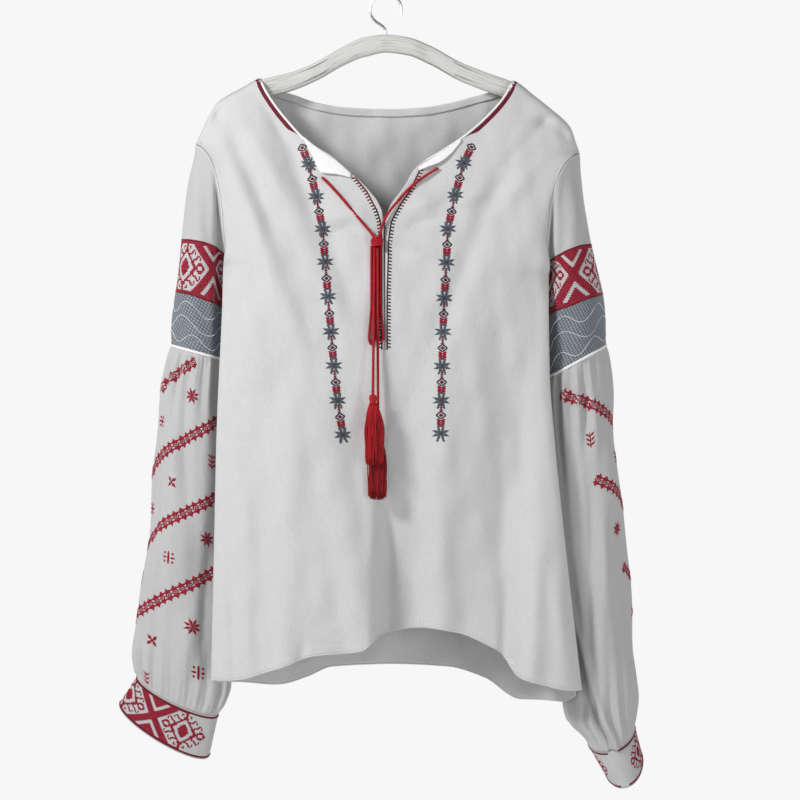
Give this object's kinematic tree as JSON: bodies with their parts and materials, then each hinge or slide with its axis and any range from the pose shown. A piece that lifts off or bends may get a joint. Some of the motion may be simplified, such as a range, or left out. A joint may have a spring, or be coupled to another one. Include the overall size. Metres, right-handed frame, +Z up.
{
  "type": "embroidered blouse on a hanger",
  "caption": "White cotton folk blouse with embroidered front and sleeves and a tasselled neck cord, hung on a wooden hanger with a wire hook.",
  "frame": {"origin": "the inner top of the hanger's hook, where it hangs on a rail", "axes": "+Z up along the hanging length, -Y the way the front faces, +X to the viewer's right"},
  "size_m": [0.5767, 0.1561, 0.8717],
  "materials": {
    "white_cotton": "matt plain weave",
    "facing_cotton": "matt plain weave",
    "cuff_embroidery": "dense cross-stitch",
    "red_embroidery": "satin and cross-stitch in dark red thread",
    "grey_embroidery": "satin and cross-stitch in grey-blue thread",
    "dark_thread": "blanket stitch in near-black thread",
    "red_cord": "twisted cotton",
    "whitewashed_wood": "worn white paint",
    "bright_steel": "drawn wire"
  },
  "bodies": {
    "root": {"hanger_bar": "whitewashed_wood", "hanger_hook": "bright_steel", "blouse_front": "white_cotton", "blouse_back": "white_cotton", "neck_facing_back": "facing_cotton", "neck_flap_left": "facing_cotton", "neck_flap_right": "facing_cotton", "sleeve_upper_left": "white_cotton", "sleeve_upper_right": "white_cotton", "sleeve_lower_left": "white_cotton", "sleeve_lower_right": "white_cotton", "cuff_left": "cuff_embroidery", "cuff_right": "cuff_embroidery", "cord_left": "red_cord", "cord_right": "red_cord", "cord_knot": "red_cord", "cord_loop_left": "red_cord", "cord_loop_right": "red_cord", "cord_tail_upper": "red_cord", "cord_tail_lower": "red_cord", "tassel_upper": "red_cord", "tassel_lower": "red_cord"}
  },
  "joints": []
}
